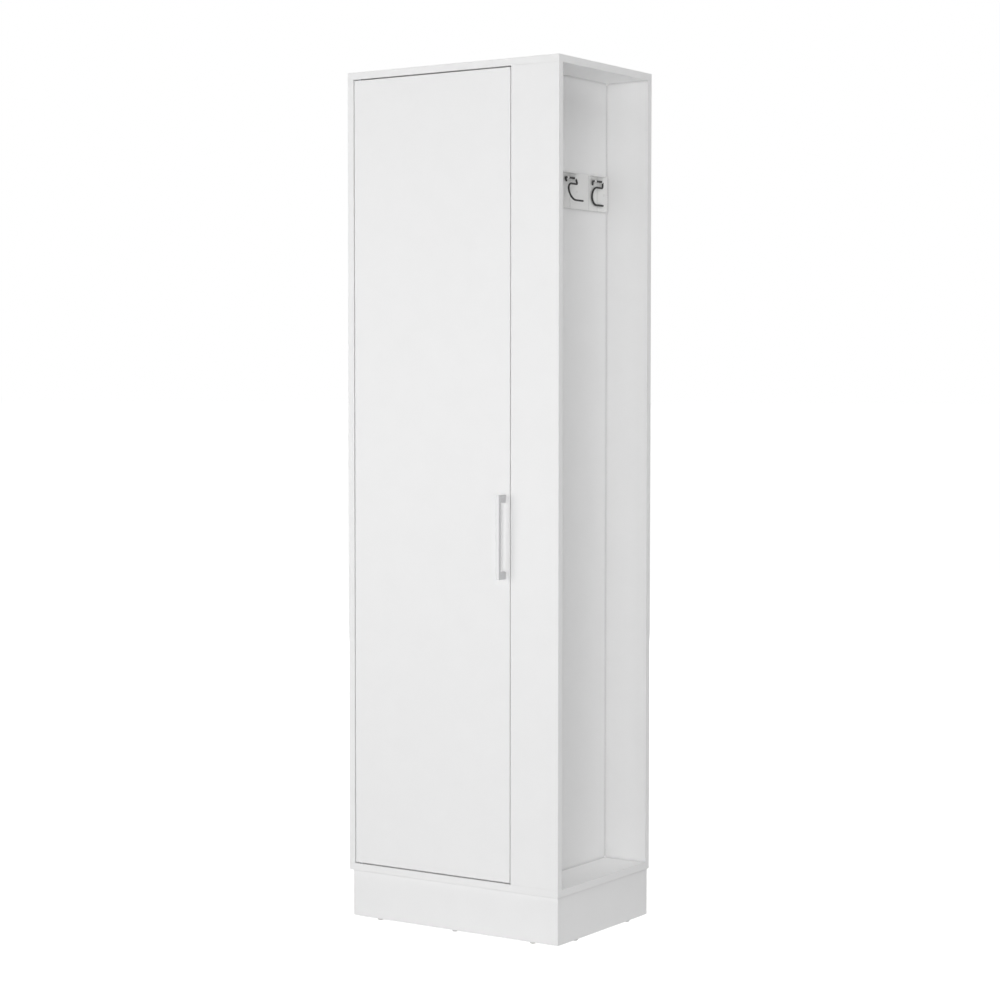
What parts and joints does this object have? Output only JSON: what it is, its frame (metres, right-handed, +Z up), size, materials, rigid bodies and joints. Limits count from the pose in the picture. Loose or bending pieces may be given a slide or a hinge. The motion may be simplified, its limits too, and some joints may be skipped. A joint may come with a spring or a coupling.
{
  "type": "broom cupboard",
  "caption": "Tall narrow broom cupboard on a plinth: inset door over shelves, fixed filler panel, open side bay with swinging wire broom grips on a moulded rail.",
  "frame": {"origin": "on the floor under the middle of the overall box, which is as wide as the cupboard and as deep as the cupboard with its handle", "axes": "+Z up, +Y from the door towards the back panel, +X from the hinge side towards the open bay"},
  "size_m": [0.53, 0.3926, 1.804],
  "materials": {
    "white_board": "white melamine foil on particle board with plastic edge bands, satin",
    "beech": "plain sawn beech",
    "white_plastic": "moulded, fine satin grain",
    "grey_plastic": "moulded, satin",
    "zinc_steel": "zinc plated, dull",
    "white_steel": "white lacquered screw heads",
    "satin_aluminium": "satin anodised",
    "black_coated_wire": "smooth black plastic coating on steel wire",
    "ferrite": "bare sintered ferrite between steel poles"
  },
  "bodies": {
    "carcass": {"top_panel": "white_board", "bottom_panel": "white_board", "left_side_panel": "white_board", "partition_panel": "white_board", "front_filler_panel": "white_board", "back_panel": "white_board", "plinth_front_rail": "white_board", "plinth_left_rail": "white_board", "plinth_right_rail": "white_board", "plinth_back_rail": "white_board", "fixed_shelf": "white_board", "lower_shelf": "white_board", "upper_shelf": "white_board", "joint_splines": "beech", "plinth_corner_blocks": "beech", "grip_rail": "white_plastic", "catch_housings": "white_plastic", "pivot_bushes": "white_plastic", "floor_glides": "grey_plastic", "shelf_pins": "zinc_steel", "grip_rail_screws": "white_steel", "catch_magnets": "ferrite"},
    "door": {"door_panel": "white_board", "door_pivot_pins": "zinc_steel", "pull_handle": "satin_aluminium", "handle_screws": "zinc_steel", "catch_strike_plates": "zinc_steel"},
    "front_grip": {"front_broom_grip": "black_coated_wire"},
    "rear_grip": {"rear_broom_grip": "black_coated_wire"}
  },
  "joints": [
    {"name": "door_hinge", "type": "hinge", "parent": "carcass", "child": "door", "pos_m": [-0.2375, -0.16325, 0.954], "axis": [0, 0, -1], "range_deg": [0, 110]},
    {"name": "front_grip_swing", "type": "hinge", "parent": "carcass", "child": "front_grip", "pos_m": [0.1705, 0.02375, 1.577], "axis": [0, -1, 0], "range_deg": [-19.8, 72.6]},
    {"name": "rear_grip_swing", "type": "hinge", "parent": "carcass", "child": "rear_grip", "pos_m": [0.1705, 0.13275, 1.577], "axis": [0, -1, 0], "range_deg": [0, 92.4]}
  ]
}
